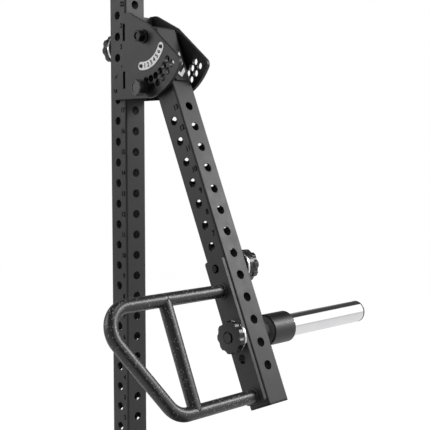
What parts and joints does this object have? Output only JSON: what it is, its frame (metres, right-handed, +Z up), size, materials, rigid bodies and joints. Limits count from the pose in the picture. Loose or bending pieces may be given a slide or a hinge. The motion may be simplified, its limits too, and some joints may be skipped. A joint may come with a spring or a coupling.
{
  "type": "lever arm rack attachment",
  "caption": "Perforated lever arm swinging from an angle-scale bracket on a rack upright, with a stop pin, a clamp-on trapezoid handle and a plate-loading sleeve.",
  "frame": {"origin": "centre of the upright's bottom end", "axes": "+Z up the upright, +X towards the side the arm hangs on, -Y towards the handle, +Y towards the weight sleeve"},
  "size_m": [0.5548, 0.7469, 1.2],
  "materials": {
    "rack_powder": "satin powder coat",
    "bracket_powder": "satin powder coat",
    "grip_texture": "rough textured powder coat",
    "liner_plastic": "matte",
    "black_steel": "black oxide",
    "pin_steel": "ground",
    "label_metal": "brushed",
    "knob_plastic": "matte",
    "collar_plastic": "satin",
    "cap_plastic": "satin",
    "hub_nylon": "satin",
    "chrome": "polished",
    "bronze": "sintered",
    "mark_white": "gloss"
  },
  "bodies": {
    "frame": {"upright": "rack_powder", "side_plate_near": "bracket_powder", "side_plate_far": "bracket_powder", "cross_plate": "bracket_powder", "liner_strip": "liner_plastic", "ear_pad_near": "liner_plastic", "ear_pad_far": "liner_plastic", "ear_screws": "black_steel", "scale_label": "label_metal", "scale_screws": "black_steel", "pivot_bolt": "black_steel", "pivot_nut": "black_steel", "pivot_washer": "black_steel", "clamp_bolt": "black_steel"},
    "arm": {"arm_tube": "rack_powder", "pivot_hub": "bracket_powder", "bushing_near": "bronze", "bushing_far": "bronze", "arm_end_cap": "cap_plastic", "badge_plate": "cap_plastic", "badge_mark": "mark_white", "handle_plate": "rack_powder", "handle_bar": "grip_texture", "handle_strut": "grip_texture", "sleeve_hub": "hub_nylon", "sleeve_tube": "chrome", "sleeve_cap": "chrome", "stop_collar": "collar_plastic", "sleeve_stud": "black_steel"},
    "pin": {"stop_pin": "pin_steel", "pin_grip": "knob_plastic"},
    "rear_knob_body": {"rear_knob": "knob_plastic", "rear_knob_flange": "chrome"},
    "near_knob_body": {"near_knob": "knob_plastic", "near_knob_flange": "chrome"},
    "far_knob_body": {"far_knob": "knob_plastic", "far_knob_flange": "chrome", "far_knob_bolt": "black_steel"}
  },
  "joints": [
    {"name": "arm_swing", "type": "hinge", "parent": "frame", "child": "arm", "pos_m": [0.1172, 0, 1.0143], "axis": [0, -1, 0], "range_deg": [0, 120]},
    {"name": "pin_pull", "type": "slide", "parent": "frame", "child": "pin", "axis": [0, -1, 0], "range_m": [0, 0.12]},
    {"name": "rear_knob_turn", "type": "hinge", "parent": "frame", "child": "rear_knob_body", "pos_m": [-0.04, 0, 1], "axis": [-1, 0, 0], "continuous": true},
    {"name": "near_knob_turn", "type": "hinge", "parent": "arm", "child": "near_knob_body", "pos_m": [0.40666, -0.05, 0.36325], "axis": [0, -1, 0], "continuous": true},
    {"name": "far_knob_turn", "type": "hinge", "parent": "arm", "child": "far_knob_body", "pos_m": [0.34572, 0.045, 0.50031], "axis": [0, 1, 0], "continuous": true}
  ]
}
